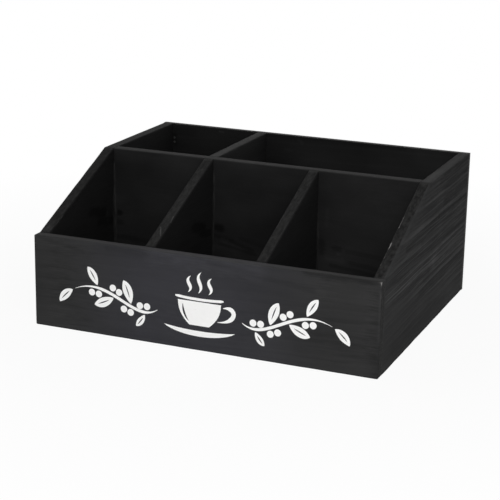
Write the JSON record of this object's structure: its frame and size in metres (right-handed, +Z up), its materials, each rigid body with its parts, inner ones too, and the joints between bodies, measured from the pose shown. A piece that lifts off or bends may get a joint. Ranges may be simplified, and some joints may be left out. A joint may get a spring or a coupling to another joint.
{
  "type": "coffee station organizer",
  "caption": "Low black-stained wooden countertop organizer with a cut-away front, open bays under sloping dividers, and deep bays behind a cross divider.",
  "frame": {"origin": "middle of the base, on the surface that the organizer stands on", "axes": "+X to the right along the front panel, +Y from the front to the back, +Z up"},
  "size_m": [0.3, 0.25, 0.127],
  "materials": {
    "stained_board": "black stain on solid wood, satin, grain showing",
    "stained_plywood": "black stain on plywood, matt",
    "fastener_steel": "galvanized wire",
    "stencil_paint": "thin matt off-white paint"
  },
  "bodies": {
    "root": {"front_panel": "stained_board", "left_side": "stained_board", "right_side": "stained_board", "back_panel": "stained_plywood", "bottom_panel": "stained_plywood", "cross_divider": "stained_board", "front_divider_left": "stained_board", "front_divider_right": "stained_board", "rear_divider": "stained_board", "front_panel_brads": "fastener_steel", "front_divider_brads": "fastener_steel", "left_side_brads": "fastener_steel", "right_side_brads": "fastener_steel", "cross_divider_brads": "fastener_steel", "back_panel_staples": "fastener_steel", "bottom_panel_staples": "fastener_steel"}
  },
  "joints": []
}
